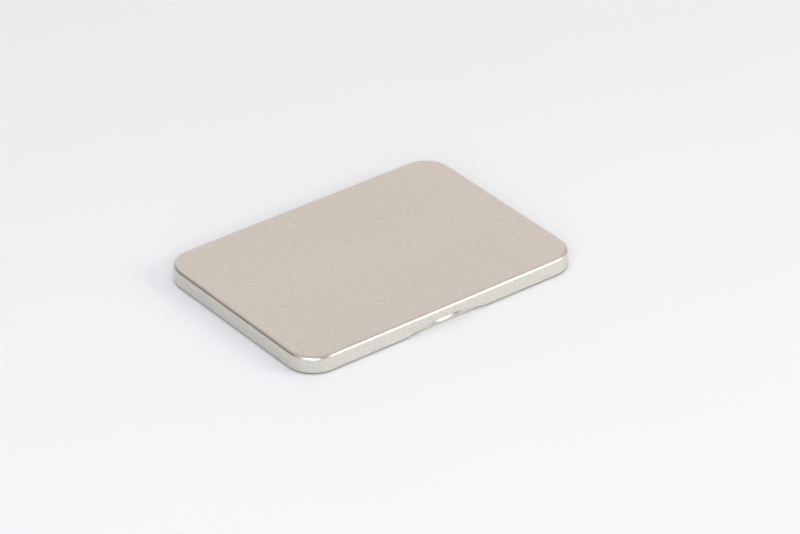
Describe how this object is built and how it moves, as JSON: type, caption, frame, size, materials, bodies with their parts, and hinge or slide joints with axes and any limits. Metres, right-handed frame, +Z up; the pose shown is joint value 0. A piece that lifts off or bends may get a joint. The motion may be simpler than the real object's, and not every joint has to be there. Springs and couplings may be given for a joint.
{
  "type": "slim hinged card tin",
  "caption": "Flat rectangular pressed-metal tin with round corners, a full-depth lid on two rear wire-pin hinges, and an arched thumb notch at the front.",
  "frame": {"origin": "centre of the base's flat underside, on the table", "axes": "+X along the long side, -Y towards the thumb notch, +Y towards the hinges, +Z up"},
  "size_m": [0.115, 0.0813, 0.0065],
  "materials": {
    "base_tinplate": "satin bare tinplate",
    "lid_tinplate": "satin bare tinplate with a fine grain",
    "pin_wire": "drawn steel wire"
  },
  "bodies": {
    "base": {"base": "base_tinplate"},
    "lid": {"lid": "lid_tinplate", "hinge_pin_left": "pin_wire", "hinge_pin_right": "pin_wire"}
  },
  "joints": [
    {"name": "lid_hinge", "type": "hinge", "parent": "base", "child": "lid", "pos_m": [0, 0.04051, 0.00095], "axis": [-1, 0, 0], "range_deg": [0, 105]}
  ]
}
